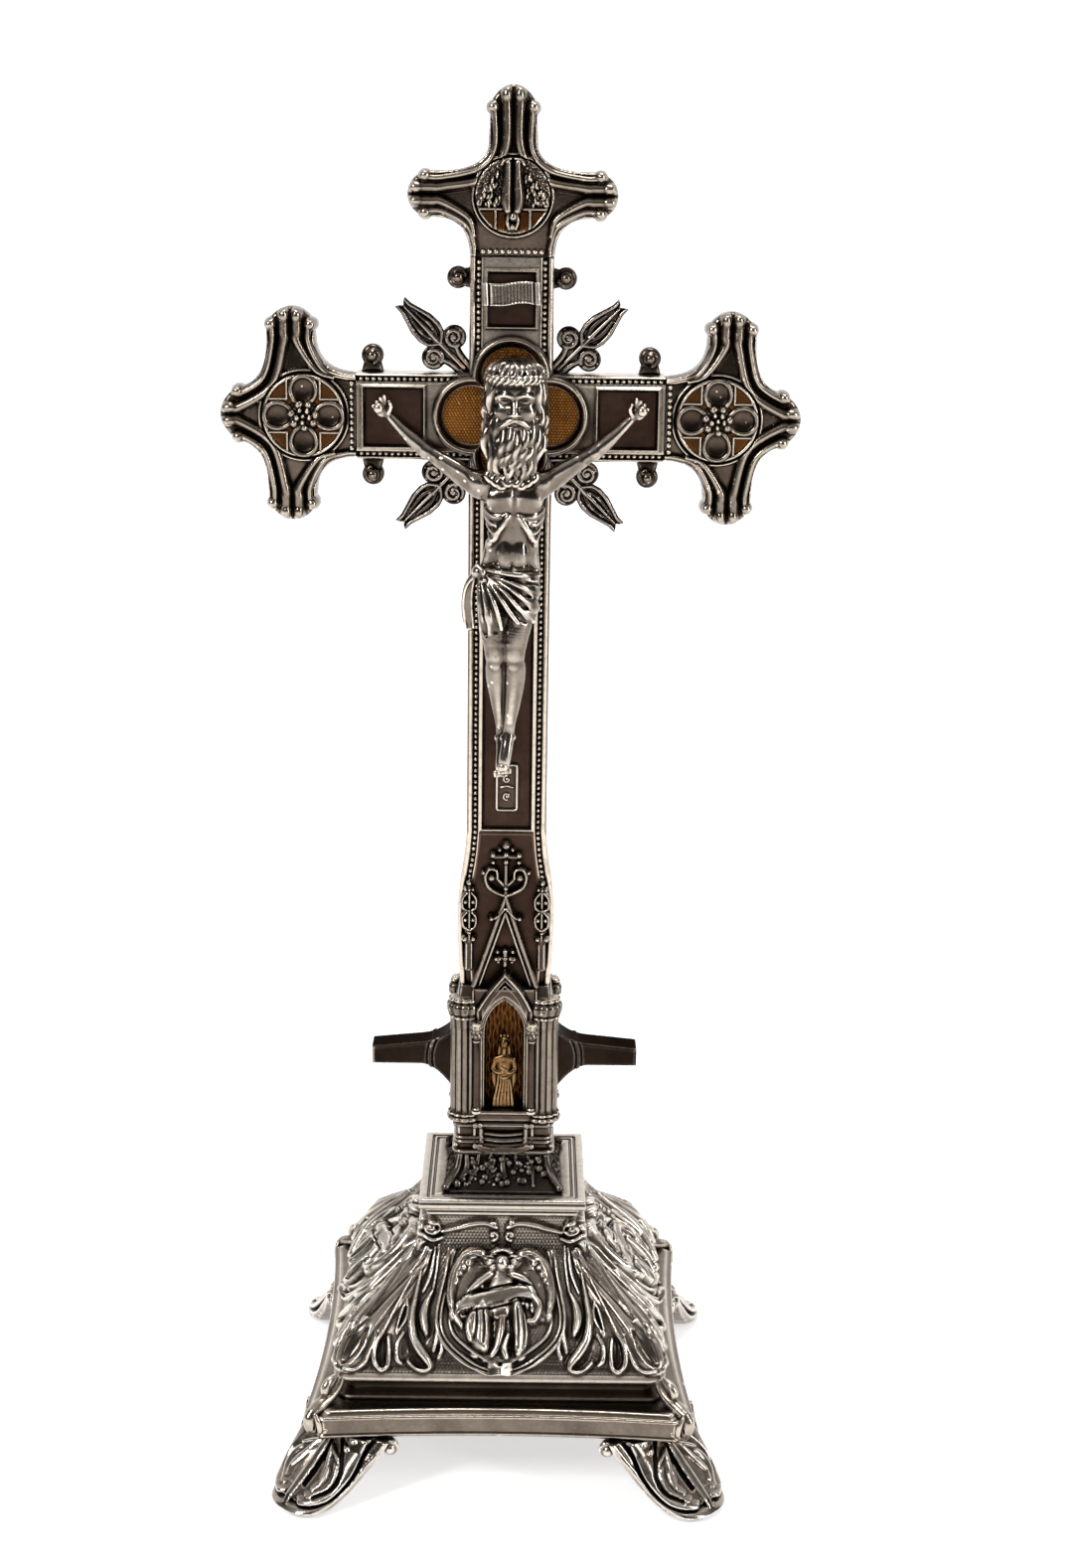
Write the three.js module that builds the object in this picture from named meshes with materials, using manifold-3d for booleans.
// Standing altar cross on a four-footed base: cast, stamped and applied silver-plated pieces on a tie rod.
// Millimetres. X runs along the arms, -Y is the front, +Z is up, and z = 0 is the plane of the soles.
import * as THREE from "three";
import { mergeVertices } from "three/addons/utils/BufferGeometryUtils.js";
import Module from "manifold-3d";

// General clearances, wall and mesh steps
const GAP = 0.3;
const SHEET = 1.6;
const OVERSHOOT = 2;
const WELD = 1e-4;
const ROUND_SIDES = 12;
const LIMB_SIDES = 8;
const CURVE_STEPS = 4;

// Tie rod that clamps cross, column and base together
const ROD = { radius: 2.8, y: 3.2, clearance: 0.4, reachIntoShaft: 66, tail: 3 };
const ROD_NUT = { acrossFlats: 10, height: 5 };
const ROD_WASHER = { radius: 9, height: 1.4 };
const ANCHOR = { half: 9, height: 12 };

// Feet: horizontal sections from the sole up, placed along the corner diagonal
const FOOT_STUD = { centre: 73, radius: 2.2, clearance: 0.3, tail: 1.5 };
const FOOT_NUT = { acrossFlats: 8, height: 4 };
const FOOT_LEAF = { ripple: 0.1, count: 5, sides: 20 };
const FOOT_SECTIONS = [
  { z: 0, centre: 105, across: 10, along: 8.4 },
  { z: 2.4, centre: 103.5, across: 13, along: 11.6 },
  { z: 7, centre: 98, across: 15.5, along: 13.4 },
  { z: 12, centre: 92.5, across: 17.5, along: 12.4 },
  { z: 17, centre: 87, across: 19.5, along: 11.4 },
  { z: 22, centre: 82, across: 22.5, along: 10.6 },
  { z: 26.3, centre: 79.5, across: 25, along: 10.2 },
];

// Base slab: solid plate with hollowed sides and cut corners
const SLAB = { half: 74, height: 10.6, sideHollow: 3.2, chamfer: 7, steps: 6 };
const SLAB_EDGE = [
  { inset: 1.6, rise: 0 },
  { inset: 0, rise: 0.13 },
  { inset: 0.5, rise: 0.21 },
  { inset: 0.5, rise: 0.72 },
  { inset: 1.2, rise: 0.81 },
  { inset: 3.2, rise: 1 },
];

// Base cover: stamped shell, from the foot flange over lip and shoulder to the neck
const COVER_SECTIONS = [
  { half: 62.6, rise: 0 },
  { half: 62.6, rise: 1.1 },
  { half: 59.4, rise: 2.9, mark: "step" },
  { half: 59.4, rise: 5.7 },
  { half: 63.4, rise: 7.7 },
  { half: 63.4, rise: 9.9, mark: "lip" },
  { half: 61.6, rise: 13.5 },
  { half: 58.6, rise: 19.5 },
  { half: 54.8, rise: 24.5 },
  { half: 48.8, rise: 30.1 },
  { half: 41.4, rise: 36.5 },
  { half: 35.4, rise: 42.9 },
  { half: 31.4, rise: 49.5, mark: "neck" },
  { half: 30.2, rise: 54.5 },
  { half: 29.4, rise: 60.7 },
];
const COVER_CORNER = { radius: 0.1, steps: 2, sideSteps: 6 };
const COVER_FLANGE = 17.6;

// Corner leaves on the cover: a swelling of the sheet, with lobes fanning from the corner down to the lip.
// Shares are of the half width, levels run from the lip at 0 to the neck at 1
const CORNER_LEAF = { height: 1.6, share: 0.42, sink: 0.4, sides: 5, bend: 1.3 };
const LEAF_LOBES = [
  { from: 0.97, to: 0.97, top: 1.05, foot: 0.16 },
  { from: 0.93, to: 0.8, top: 0.84, foot: 0.13 },
  { from: 0.9, to: 0.63, top: 0.7, foot: 0.1 },
  { from: 0.84, to: 0.47, top: 0.66, foot: 0.13 },
];
const LEAF_LOBE_RADII = [0.8, 1.9, 2.5, 1.3];
const NECK_SCROLL = { at: 0.86, below: 4.6, radius: 4.3, sides: 10, rise: 1.7, seat: 2, stem: [1.3, 1.6, 0.9] };
const NECK_STEM = { reach: 0.85, start: 0.6, arch: 0.5 };

// Cartouche: pointed shield in front of each cover face, with a relief figure in an oval
const CARTOUCHE = { belowLip: 2.2, belowNeck: 1, halfTop: 18.8, halfWide: 28.2, wideShare: 0.42, sink: 7 };
const CARTOUCHE_STEPS = [
  { scale: 1, rise: 1 },
  { scale: 0.97, rise: 3.2 },
  { scale: 0.9, rise: 3.4 },
  { scale: 0.86, rise: 2.2 },
  { scale: 0.82, rise: 3.4 },
  { scale: 0.76, rise: 3 },
  { scale: 0.7, rise: 1.6 },
  { scale: 0.35, rise: 1.6 },
];
const CLASP = { half: 5.4, height: 9, rise: 5.4 };
const RELIEF_FIGURE = { headRadius: 3, bodyHalf: 5, wingHalf: 4.4, wingReach: 10.5, depth: 4.2 };

// Upper plinth: moulded square tray
const PLINTH_SECTIONS = [
  { half: 29.2, rise: 0 },
  { half: 29.2, rise: 2.1 },
  { half: 31, rise: 3.1 },
  { half: 32.3, rise: 3.7 },
  { half: 32.3, rise: 6.5 },
  { half: 31.4, rise: 7.7 },
  { half: 29, rise: 7.7 },
  { half: 28.4, rise: 6.5 },
  { half: 27.4, rise: 6.5 },
  { half: 26.8, rise: 7.5 },
  { half: 25.8, rise: 7.5 },
  { half: 25.2, rise: 6.3 },
];

// Socle and pedestal under the column
const SOCLE = { bottomHalf: 24.4, topInset: 1.8, height: 12.3, rib: 0.9, ribs: 5, steps: 4 };
const PEDESTAL = { height: 13.3, band: 2.6, bandOut: 1.2 };
const PEDESTAL_RECESS = { half: 7.8, depth: 3 };

// Column housing with a pointed niche, and its mouldings
const COLUMN = { half: 19.2, halfDepth: 14, height: 54.7, corner: 6.8, rib: 1.5, ribs: 3, stepsPerRib: 2 };
const COLUMN_BASE = { height: 4.3, out: 1.7 };
const NICHE = { half: 7.7, sill: 4.7, straight: 32, arch: 13, depth: 9.6 };
const NICHE_PLATE = { thickness: 1 };
const NICHE_FIGURE = { hem: 4.9, waist: 3.4, shoulder: 5.2, depth: 0.46, height: 30.4, headRadius: 2 };
const COLONNETTE = { radius: 1.25, beadRadius: 2.1, wall: 0.8 };
const COLLAR = { drop: 12.2, height: 8.6, out: 1.7 };

// Gable with finial, and pinnacles, in front of the shaft foot
const GABLE = { half: 14.3, height: 39.3, band: 3.6, thickness: 2.9 };
const GABLE_ARCH = { band: 2.5, footDrop: 4.7, rise: 10.7 };
const FINIAL = { height: 24, ball: 2.3, stem: 1.5, leafAt: 0.38, leafReach: 7, leafHalf: 4 };
const PINNACLE = { x: 13.8, half: 1.9, bottom: 7, post: 13, cone: 23, leaf: 1.4, thickness: 4.2 };

// Side brackets
const BRACKET = { reach: 32.5, half: 3.7, rootHalf: 13.2, flare: 13, at: 22.9, halfDepth: 6, bevel: 1 };

// Cross: heights from the foot of the shaft
const SHAFT = { half: 15.2, belowArms: 217.7, aboveArms: 56.7, depth: 8, bevel: 1.2 };
const SHAFT_FLARE = { footHalf: 17.4, wideHalf: 18.6, wideAt: 27.7, endAt: 61.7 };
const ARM = { half: 15.7, reach: 55.8 };
const KNOB = { radius: 4, depth: 5, stemHalf: 2.4, armOffset: 5.8, shaftOffset: 4.2, fromEnd: 5.5, belowTop: 7.3 };

// Terminals, measured outward from the joint
const TERMINAL = { depth: 8, bevel: 2.4, tenon: 6, beadRadius: 2.4, beadOut: 0.6, seat: 1.6 };
const SIDE_TERMINAL = {
  joint: 15.2, lobeAt: 23.5, lobeReach: 38.6, lobeHalf: 9, lobeTip: 6, curlDrop: 6.4,
  endHalf: 10, coveEnd: 41.6, curlAt: 43, endTip: 5, length: 49.8,
};
const TOP_TERMINAL = {
  joint: 15.2, lobeAt: 21.2, lobeReach: 37.6, lobeHalf: 8.2, lobeTip: 5.6, curlDrop: 6.4,
  endHalf: 9, coveEnd: 37, curlAt: 51, endTip: 6, length: 59,
};
const MEDALLION = { at: 18.9, radius: 15.4, thickness: 2.8, petalAt: 9, petalRadius: 5, dish: 1.5, boss: 5 };
const DOVE = { at: 21, radius: 13.4, thickness: 2.4, body: 10.5, wing: 8.6, ledge: 0.8 };

// Crossing ornaments
const SPRAY = { reach: 57.4, leafFrom: 37, leafHalf: 4.6, stemHalf: 2.2, voluteAt: 35.2, voluteSide: 5.4 };
const SPRAY_BODY = { volute: 3.9, thickness: 3.6, bevel: 0.7, notch: 2.2 };
const NIMBUS = { lift: 1, offset: 14, radius: 14.6, band: 3.2, thickness: 3.8, bevel: 0.9, floor: 0.8 };

// Applied frames, scroll and plaque on the front
const FRAME = { band: 2, rise: 1.9, margin: 1.7 };
const LOWER_FRAME = { half: 10.6, belowPlaque: 8 };
const UPPER_FRAME = { half: 9.8, belowTop: 3.7 };
const ARM_FRAME = { half: 11.9, endMargin: 1.3 };
const TITULUS = { half: 9.4, height: 9.8, belowTop: 7.5, thickness: 1.2, curl: 1.7 };
const PLAQUE = { half: 4.6, height: 19.2, belowArms: 128.8, thickness: 1.7 };

// Corpus, placed from the crossing: sections of the trunk, and spine points with radii for the limbs
const TRUNK = [
  { x: 1.8, y: -16, z: -21, across: 8, deep: 5 },
  { x: 1.8, y: -15.6, z: -25, across: 12.6, deep: 5.6 },
  { x: 2, y: -16, z: -33, across: 11.8, deep: 6.6 },
  { x: 2, y: -15.4, z: -43, across: 9.8, deep: 6 },
  { x: 1.4, y: -15, z: -51, across: 9.4, deep: 5.6 },
  { x: 0.6, y: -15.2, z: -59, across: 10.6, deep: 6.2 },
  { x: 0, y: -15.8, z: -70, across: 11, deep: 6.8 },
  { x: 0, y: -15.8, z: -74, across: 9.6, deep: 6.2 },
];
const HEAD = { x: 1.6, y: -21.4, z: 3, across: 9, deep: 9, high: 19 };
const BEARD = { x: 1.6, y: -24, z: -14, across: 6.2, deep: 5.2, high: 10.6 };
const HAIR_LOCK = { x: 8.4, y: -19, z: -8, across: 2.8, deep: 5, high: 15 };
const SHOULDER = 9;
const HAND = { fingersFromEnd: 7.2, palmFromEnd: 8.4 };
const ARM_LIMB = [
  { share: 0, y: -15.4, z: -24, r: 4.6 },
  { share: 0.3, y: -14.6, z: -18.2, r: 3.6 },
  { share: 0.56, y: -13.8, z: -12.4, r: 3 },
  { share: 0.78, y: -12.6, z: -4.4, r: 2.5 },
  { share: 0.91, y: -11.8, z: 0.8, r: 2.3 },
  { share: 1, y: -11.6, z: 5, r: 2.4 },
];
const BACK_LEG = [
  { x: -5, y: -15.8, z: -66, r: 5.4 },
  { x: -4.6, y: -18.4, z: -82, r: 4.6 },
  { x: -3.4, y: -17.4, z: -98, r: 4.1 },
  { x: -1.8, y: -14.8, z: -114, r: 3 },
  { x: -1.4, y: -15, z: -122, r: 2.8 },
  { x: -0.8, y: -16.6, z: -131, r: 2.4 },
];
const FRONT_LEG = [
  { x: 5, y: -15.8, z: -66, r: 5.4 },
  { x: 4.2, y: -18.8, z: -83, r: 4.7 },
  { x: 2.6, y: -18, z: -98, r: 4.2 },
  { x: 0.4, y: -18.4, z: -115, r: 3 },
  { x: -0.8, y: -19, z: -123, r: 2.8 },
  { x: -2, y: -19.6, z: -130.6, r: 2.3 },
];
const CLOTH_KNOT = [
  { x: -10, y: -16, z: -57, r: 3.8 },
  { x: -13.4, y: -15, z: -66, r: 3.2 },
  { x: -14, y: -14, z: -74.4, r: 2 },
];
const NAIL = { shank: 0.9, clearance: 0.15, head: 2, headHeight: 1.6, tail: 2.4 };
const HAND_NAIL = { x: ARM.reach - HAND.palmFromEnd, z: 3.6, front: -14.4 };
const FOOT_NAIL = { x: -1.4, z: -127, front: -22.4 };

// Levels, from the soles up
const FOOT_TOP = FOOT_SECTIONS[FOOT_SECTIONS.length - 1].z;
const SLAB_BOTTOM = FOOT_TOP + GAP;
const COVER_BOTTOM = SLAB_BOTTOM + SLAB.height + GAP;
const COVER_TOP = COVER_BOTTOM + COVER_SECTIONS[COVER_SECTIONS.length - 1].rise;
const PLINTH_BOTTOM = COVER_TOP + GAP;
const PLINTH_FLOOR = PLINTH_BOTTOM + PLINTH_SECTIONS[PLINTH_SECTIONS.length - 1].rise;
const SOCLE_BOTTOM = PLINTH_FLOOR + GAP;
const PEDESTAL_BOTTOM = SOCLE_BOTTOM + SOCLE.height + GAP;
const COLUMN_BOTTOM = PEDESTAL_BOTTOM + PEDESTAL.height + GAP;
const COLUMN_TOP = COLUMN_BOTTOM + COLUMN.height;
const SHAFT_FOOT = COLUMN_TOP + GAP;
const CROSSING = SHAFT_FOOT + SHAFT.belowArms;
const SHAFT_TOP = CROSSING + SHAFT.aboveArms;
const COLLAR_BOTTOM = COLUMN_TOP - COLLAR.drop;
const COLLAR_TOP = COLLAR_BOTTOM + COLLAR.height;

// Front and back planes of what is applied to the cross
const CROSS_FRONT = -SHAFT.depth;
const APPLIED_BACK = CROSS_FRONT - GAP;
const FRAME_FRONT = APPLIED_BACK - FRAME.rise;
const NIMBUS_FRONT = APPLIED_BACK - NIMBUS.thickness;
const NIMBUS_REACH = NIMBUS.offset + NIMBUS.radius;
const NIMBUS_Z = CROSSING + NIMBUS.lift;
const COLUMN_FRONT = -COLUMN.halfDepth;

// Finishes
const FINISH = {
  silver: { color: 0xa89a8c, roughness: 0.28, metalness: 1 },
  darkSilver: { color: 0x4a403a, roughness: 0.45, metalness: 1 },
  gilt: { color: 0xb07a34, roughness: 0.35, metalness: 1 },
  steel: { color: 0x8b8d90, roughness: 0.4, metalness: 1 },
};

const wasm = await Module();
wasm.setup();

const cross = new THREE.Group();
cross.name = "metal_cross";

// Solids from geometry, and back
function toSolid(geometry) {
  const bare = geometry.clone();
  bare.deleteAttribute("normal");
  bare.deleteAttribute("uv");
  const welded = mergeVertices(bare, WELD);
  const mesh = new wasm.Mesh({
    numProp: 3,
    vertProperties: Float32Array.from(welded.attributes.position.array),
    triVerts: Uint32Array.from(welded.index.array),
  });
  return new wasm.Manifold(mesh);
}

function toGeometry(solid) {
  const mesh = solid.getMesh();
  const geometry = new THREE.BufferGeometry();
  geometry.setAttribute("position", new THREE.BufferAttribute(Float32Array.from(mesh.vertProperties), 3));
  geometry.setIndex(new THREE.BufferAttribute(Uint32Array.from(mesh.triVerts), 1));
  return geometry;
}

function unite(...solids) {
  return solids.reduce((whole, solid) => whole.add(solid));
}

function place(name, solid, finish) {
  const geometry = toGeometry(solid);
  geometry.computeVertexNormals();
  const mesh = new THREE.Mesh(geometry, new THREE.MeshStandardMaterial(finish));
  mesh.name = name;
  cross.add(mesh);
  return mesh;
}

function moved(solid, x, y, z) {
  return toSolid(toGeometry(solid).translate(x, y, z));
}

function turned(solid, angle) {
  return toSolid(toGeometry(solid).rotateZ(angle));
}

function mirroredX(solid) {
  const geometry = toGeometry(solid).scale(-1, 1, 1);
  const index = geometry.index.array;
  for (let i = 0; i < index.length; i += 3) {
    [index[i], index[i + 1]] = [index[i + 1], index[i]];
  }
  return toSolid(geometry);
}

// Basic forms
function signedVolume(points, faces) {
  let total = 0;
  for (const [a, b, c] of faces) {
    total += points[a].dot(new THREE.Vector3().crossVectors(points[b], points[c]));
  }
  return total;
}

function skin(points, faces) {
  const outward = signedVolume(points, faces) > 0 ? faces : faces.map(([a, b, c]) => [a, c, b]);
  const geometry = new THREE.BufferGeometry().setFromPoints(points);
  geometry.setIndex(outward.flat());
  return toSolid(geometry);
}

function centreOf(ring) {
  const sum = ring.reduce((total, point) => total.add(point), new THREE.Vector3());
  return sum.divideScalar(ring.length);
}

function loft(rings) {
  const count = rings[0].length;
  const points = rings.flat();
  const faces = [];
  for (let r = 0; r + 1 < rings.length; r++) {
    for (let i = 0; i < count; i++) {
      const next = (i + 1) % count;
      const a = r * count + i;
      const b = r * count + next;
      faces.push([a, b, b + count], [a, b + count, a + count]);
    }
  }
  const last = (rings.length - 1) * count;
  const low = points.length;
  points.push(centreOf(rings[0]), centreOf(rings[rings.length - 1]));
  for (let i = 0; i < count; i++) {
    const next = (i + 1) % count;
    faces.push([low, next, i], [low + 1, last + i, last + next]);
  }
  return skin(points, faces);
}

function box(x0, x1, y0, y1, z0, z1) {
  const geometry = new THREE.BoxGeometry(x1 - x0, y1 - y0, z1 - z0);
  geometry.translate((x0 + x1) / 2, (y0 + y1) / 2, (z0 + z1) / 2);
  return toSolid(geometry);
}

function uprightCylinder(x, y, z0, z1, radius, sides = ROUND_SIDES, topRadius = radius) {
  const geometry = new THREE.CylinderGeometry(topRadius, radius, z1 - z0, sides);
  geometry.rotateX(Math.PI / 2);
  geometry.translate(x, y, (z0 + z1) / 2);
  return toSolid(geometry);
}

function frontCylinder(x, y0, y1, z, radius, sides = ROUND_SIDES) {
  const geometry = new THREE.CylinderGeometry(radius, radius, y1 - y0, sides);
  geometry.translate(x, (y0 + y1) / 2, z);
  return toSolid(geometry);
}

function ball(x, y, z, across, deep, high, sides = ROUND_SIDES) {
  const geometry = new THREE.SphereGeometry(1, sides, sides / 2);
  geometry.scale(across, high, deep);
  geometry.rotateX(Math.PI / 2);
  geometry.translate(x, y, z);
  return toSolid(geometry);
}

function tiltedBall(x, y, z, across, deep, high, tilt) {
  const geometry = new THREE.SphereGeometry(1, LIMB_SIDES, LIMB_SIDES / 2);
  geometry.scale(across, deep, high);
  geometry.rotateY(tilt);
  geometry.translate(x, y, z);
  return toSolid(geometry);
}

function plate(shape, front, back, bevel = 0) {
  const geometry = new THREE.ExtrudeGeometry(shape, {
    depth: back - front - 2 * bevel,
    bevelEnabled: bevel > 0,
    bevelThickness: bevel,
    bevelSize: bevel,
    bevelOffset: -bevel,
    bevelSegments: 1,
    curveSegments: CURVE_STEPS,
  });
  geometry.rotateX(Math.PI / 2);
  geometry.translate(0, back - bevel, 0);
  return toSolid(geometry);
}

function hexNut(x, y, z0, nut, bore) {
  const corner = nut.acrossFlats / 2 / Math.cos(Math.PI / 6);
  const body = uprightCylinder(x, y, z0, z0 + nut.height, corner, 6);
  return body.subtract(uprightCylinder(x, y, z0 - GAP, z0 + nut.height + GAP, bore));
}

function limb(spine, sides = LIMB_SIDES) {
  const curve = new THREE.CatmullRomCurve3(spine.map(({ x, y, z }) => new THREE.Vector3(x, y, z)));
  const steps = spine.length - 1;
  const frames = curve.computeFrenetFrames(steps, false);
  const rings = [];
  for (let s = 0; s <= steps; s++) {
    const share = (s / steps) * (spine.length - 1);
    const from = Math.min(Math.floor(share), spine.length - 2);
    const radius = THREE.MathUtils.lerp(spine[from].r, spine[from + 1].r, share - from);
    const centre = curve.getPoint(s / steps);
    rings.push(circleAround(centre, frames.normals[s], frames.binormals[s], radius, sides));
  }
  return loft(rings);
}

function circleAround(centre, u, v, radius, sides) {
  return Array.from({ length: sides }, (_, i) => {
    const angle = (i / sides) * 2 * Math.PI;
    return centre.clone().addScaledVector(u, radius * Math.cos(angle)).addScaledVector(v, radius * Math.sin(angle));
  });
}

function trimmedBehind(solid, y, reach) {
  return solid.subtract(box(-reach, reach, y, y + reach, -reach, reach));
}

function rodHole(z0, z1) {
  return uprightCylinder(0, ROD.y, z0 - OVERSHOOT, z1 + OVERSHOOT, ROD.radius + ROD.clearance);
}

// The four corners, as signs of x and y with the name of the side
const CORNERS = [
  { name: "front_left", x: -1, y: -1 },
  { name: "front_right", x: 1, y: -1 },
  { name: "rear_left", x: -1, y: 1 },
  { name: "rear_right", x: 1, y: 1 },
];

// Feet: leafy claws with a flat sole and a stud up through slab and cover flange
function footRing(section) {
  const ring = [];
  for (let i = 0; i < FOOT_LEAF.sides; i++) {
    const angle = (i / FOOT_LEAF.sides) * 2 * Math.PI;
    const outward = Math.max(0, Math.cos(angle));
    const leaf = 1 + FOOT_LEAF.ripple * outward * Math.cos(FOOT_LEAF.count * 2 * angle);
    const along = section.centre + section.along * leaf * Math.cos(angle);
    const across = section.across * leaf * Math.sin(angle);
    ring.push(new THREE.Vector3((along - across) * Math.SQRT1_2, (along + across) * Math.SQRT1_2, section.z));
  }
  return ring;
}

const STUD_XY = FOOT_STUD.centre * Math.SQRT1_2;
const FLANGE_TOP = COVER_BOTTOM + SHEET;
const STUD_TOP = FLANGE_TOP + GAP + FOOT_NUT.height + FOOT_STUD.tail;

function footAt(corner) {
  const claw = loft(FOOT_SECTIONS.map(footRing));
  const stud = uprightCylinder(STUD_XY, STUD_XY, FOOT_TOP - OVERSHOOT, STUD_TOP, FOOT_STUD.radius);
  const quarter = Math.atan2(corner.y, corner.x) - Math.PI / 4;
  return turned(claw.add(stud), quarter);
}

function studHoles(solid, z0, z1) {
  const radius = FOOT_STUD.radius + FOOT_STUD.clearance;
  return CORNERS.reduce(
    (rest, c) => rest.subtract(uprightCylinder(c.x * STUD_XY, c.y * STUD_XY, z0 - OVERSHOOT, z1 + OVERSHOOT, radius)),
    solid,
  );
}

for (const corner of CORNERS) {
  place(`foot_${corner.name}`, footAt(corner), FINISH.silver);
  const nut = hexNut(
    corner.x * STUD_XY, corner.y * STUD_XY, FLANGE_TOP + GAP, FOOT_NUT, FOOT_STUD.radius + FOOT_STUD.clearance,
  );
  place(`foot_nut_${corner.name}`, nut, FINISH.steel);
}

// Base slab
function slabRing(half, z) {
  const ring = [];
  for (let side = 0; side < 4; side++) {
    const turn = (side * Math.PI) / 2;
    for (let i = 0; i <= SLAB.steps; i++) {
      const t = (2 * i) / SLAB.steps - 1;
      const lateral = t * (half - SLAB.chamfer);
      const outward = half - SLAB.sideHollow * (1 - t * t);
      const x = outward * Math.cos(turn) - lateral * Math.sin(turn);
      const y = outward * Math.sin(turn) + lateral * Math.cos(turn);
      ring.push(new THREE.Vector3(x, y, z));
    }
  }
  return ring;
}

function baseSlab() {
  const body = loft(SLAB_EDGE.map(({ inset, rise }) => slabRing(SLAB.half - inset, SLAB_BOTTOM + rise * SLAB.height)));
  return studHoles(body, SLAB_BOTTOM, SLAB_BOTTOM + SLAB.height);
}
place("base_slab", baseSlab(), FINISH.silver);

// Base cover
function cornerLeaf(lateralShare, levelShare) {
  const nearCorner = (Math.abs(lateralShare) - 1 + CORNER_LEAF.share) / CORNER_LEAF.share;
  if (nearCorner <= 0 || levelShare <= 0 || levelShare >= 1) {
    return 0;
  }
  return CORNER_LEAF.height * Math.min(nearCorner, 1) * Math.sin(levelShare * Math.PI);
}

function squareRing(half, z, levelShare = 0, sideSteps = COVER_CORNER.sideSteps) {
  const radius = COVER_CORNER.radius * half;
  const straight = half - radius;
  const ring = [];
  for (let side = 0; side < 4; side++) {
    const turn = (side * Math.PI) / 2;
    for (let i = 0; i < sideSteps; i++) {
      const lateral = straight * ((2 * i) / sideSteps - 1);
      const outward = half + cornerLeaf(lateral / half, levelShare);
      ring.push(turnedPoint(outward, lateral, turn, z));
    }
    for (let i = 0; i < COVER_CORNER.steps; i++) {
      const angle = (i / COVER_CORNER.steps) * (Math.PI / 2);
      const reach = radius + cornerLeaf(1, levelShare);
      ring.push(turnedPoint(straight + reach * Math.cos(angle), straight + reach * Math.sin(angle), turn, z));
    }
  }
  return ring;
}

function turnedPoint(outward, lateral, turn, z) {
  const x = outward * Math.cos(turn) - lateral * Math.sin(turn);
  const y = outward * Math.sin(turn) + lateral * Math.cos(turn);
  return new THREE.Vector3(x, y, z);
}

function coverSection(mark) {
  return COVER_SECTIONS.findIndex((section) => section.mark === mark);
}

const LIP_RISE = COVER_SECTIONS[coverSection("lip")].rise;
const NECK_RISE = COVER_SECTIONS[coverSection("neck")].rise;

function coverRings() {
  return COVER_SECTIONS.map(({ half, rise }) =>
    squareRing(half, COVER_BOTTOM + rise, (rise - LIP_RISE) / (NECK_RISE - LIP_RISE)));
}

function inwardNormal(from, to) {
  const length = Math.hypot(to.half - from.half, to.rise - from.rise);
  return new THREE.Vector2((from.rise - to.rise) / length, (to.half - from.half) / length);
}

function insetSection(i) {
  const here = COVER_SECTIONS[i];
  const before = COVER_SECTIONS[Math.max(i - 1, 0)];
  const after = COVER_SECTIONS[Math.min(i + 1, COVER_SECTIONS.length - 1)];
  const last = i + 1 === COVER_SECTIONS.length;
  const normalBefore = inwardNormal(before, here);
  const normalAfter = last ? normalBefore : inwardNormal(here, after);
  const mitre = normalBefore.clone().add(normalAfter);
  mitre.multiplyScalar(SHEET / (1 + normalBefore.dot(normalAfter)));
  return { half: here.half + mitre.x, rise: here.rise + mitre.y };
}

function coverInside() {
  const inner = COVER_SECTIONS.map((_, i) => insetSection(i)).slice(coverSection("step"));
  const last = inner[inner.length - 1];
  last.rise = COVER_SECTIONS[COVER_SECTIONS.length - 1].rise - SHEET;
  const sections = [{ half: inner[0].half, rise: SHEET }, ...inner];
  return loft(sections.map(({ half, rise }) => squareRing(half, COVER_BOTTOM + rise, 0, 1)));
}

function coverHalfAt(rise) {
  const above = COVER_SECTIONS.findIndex((section) => section.rise >= rise);
  const high = COVER_SECTIONS[Math.max(above, 1)];
  const low = COVER_SECTIONS[Math.max(above, 1) - 1];
  return THREE.MathUtils.mapLinear(rise, low.rise, high.rise, low.half, high.half);
}

function facePoint(share, level, r) {
  const rise = THREE.MathUtils.lerp(LIP_RISE, NECK_RISE, level);
  const half = coverHalfAt(rise);
  const radius = COVER_CORNER.radius * half;
  const over = Math.max(share * half - (half - radius), 0);
  const outward = half - radius + Math.sqrt(radius ** 2 - over ** 2) + cornerLeaf(share, level) - CORNER_LEAF.sink;
  return { x: share * half, y: -outward, z: COVER_BOTTOM + rise, r };
}

function leafLobe({ from, to, top, foot }) {
  const last = LEAF_LOBE_RADII.length - 1;
  const spine = LEAF_LOBE_RADII.map((r, i) => facePoint(
    THREE.MathUtils.lerp(from, to, (i / last) ** CORNER_LEAF.bend), THREE.MathUtils.lerp(top, foot, i / last), r,
  ));
  return limb(spine, CORNER_LEAF.sides);
}

function neckScroll() {
  const rise = COVER_SECTIONS[COVER_SECTIONS.length - 1].rise - NECK_SCROLL.below;
  const half = coverHalfAt(rise);
  const z = COVER_BOTTOM + rise;
  const volute = frontCylinder(
    half * NECK_SCROLL.at, -half - NECK_SCROLL.rise, -half + NECK_SCROLL.seat, z,
    NECK_SCROLL.radius, NECK_SCROLL.sides,
  );
  const stem = NECK_SCROLL.stem.map((r, i) => {
    const away = i / (NECK_SCROLL.stem.length - 1);
    const x = half * NECK_SCROLL.at * (1 - away * NECK_STEM.reach) - NECK_SCROLL.radius * NECK_STEM.start;
    return { x, y: -half, z: z + NECK_SCROLL.radius * NECK_STEM.arch * Math.sin(away * Math.PI), r };
  });
  return unite(volute, limb(stem, CORNER_LEAF.sides));
}

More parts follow.
